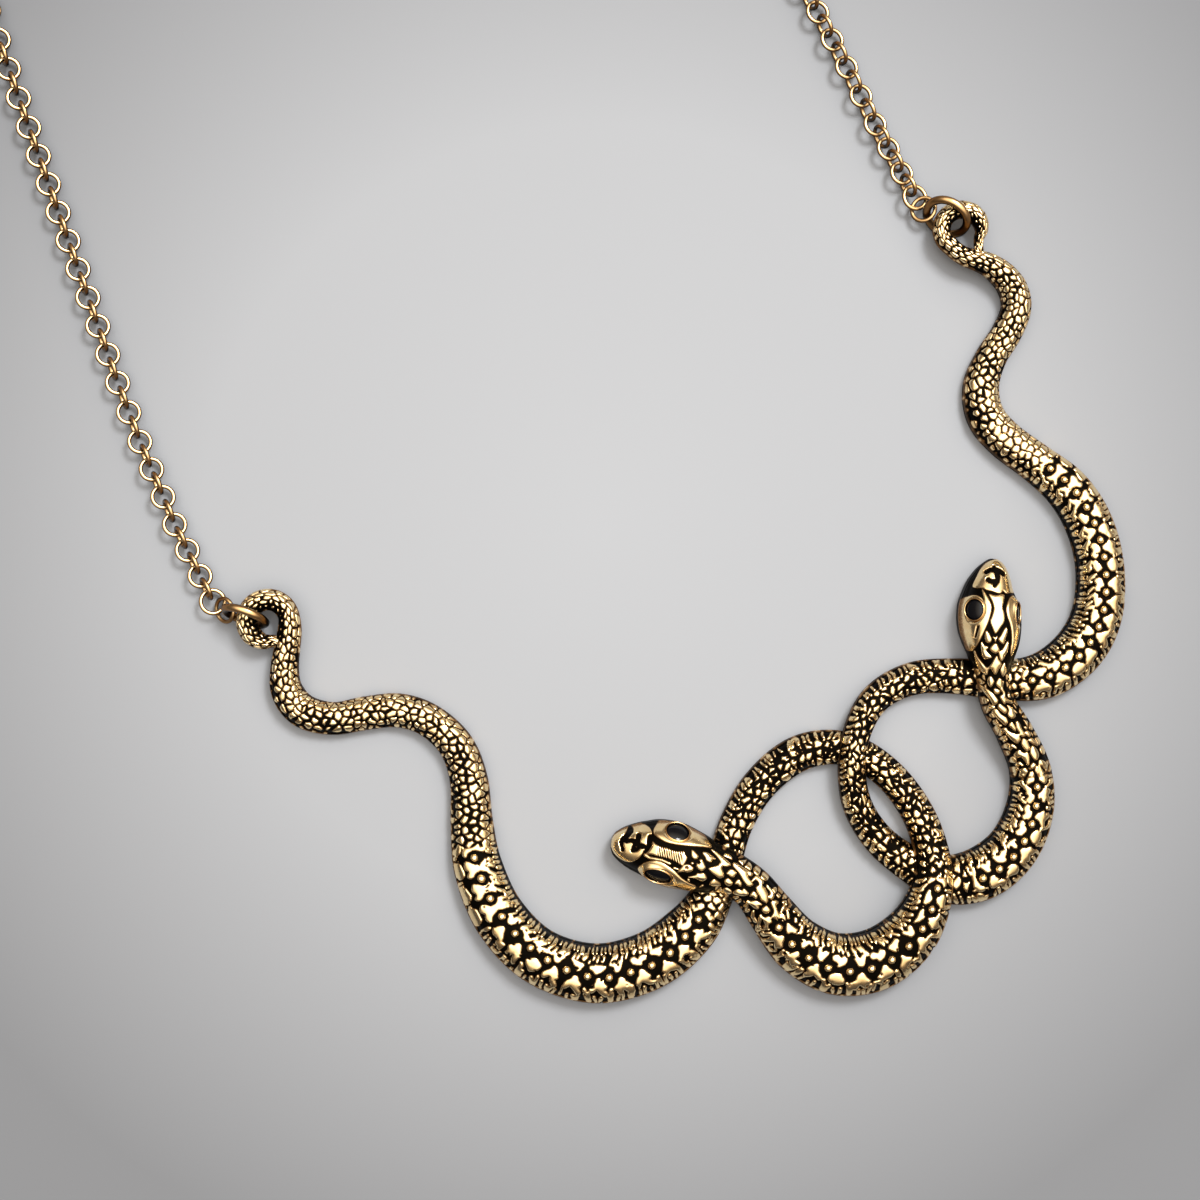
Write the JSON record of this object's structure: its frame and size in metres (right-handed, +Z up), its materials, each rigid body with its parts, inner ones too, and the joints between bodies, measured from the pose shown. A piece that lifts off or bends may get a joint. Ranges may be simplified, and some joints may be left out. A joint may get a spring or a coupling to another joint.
{
  "type": "snake necklace",
  "caption": "Necklace of two cast snakes looped through each other, hung by their curled tails from a cable chain; lies flat on its back.",
  "frame": {"origin": "middle of the necklace's outline, on the surface that it lies on", "axes": "+Z up from the surface, +Y from the pendant towards the clasp, +X across to the wearer's left as the pendant is seen from the front, with the two tail curls level along X"},
  "size_m": [0.1102, 0.2229, 0.0065],
  "materials": {
    "antique_gold": "worn gold with blackened recesses",
    "black_stone": "polished black"
  },
  "bodies": {
    "root": {"snake_casting": "antique_gold", "left_snake_upper_eye": "black_stone", "left_snake_lower_eye": "black_stone", "right_snake_inner_eye": "black_stone", "right_snake_outer_eye": "black_stone", "left_jump_ring": "antique_gold", "right_jump_ring": "antique_gold", "left_chain": "antique_gold", "right_chain": "antique_gold", "clasp": "antique_gold"}
  },
  "joints": []
}
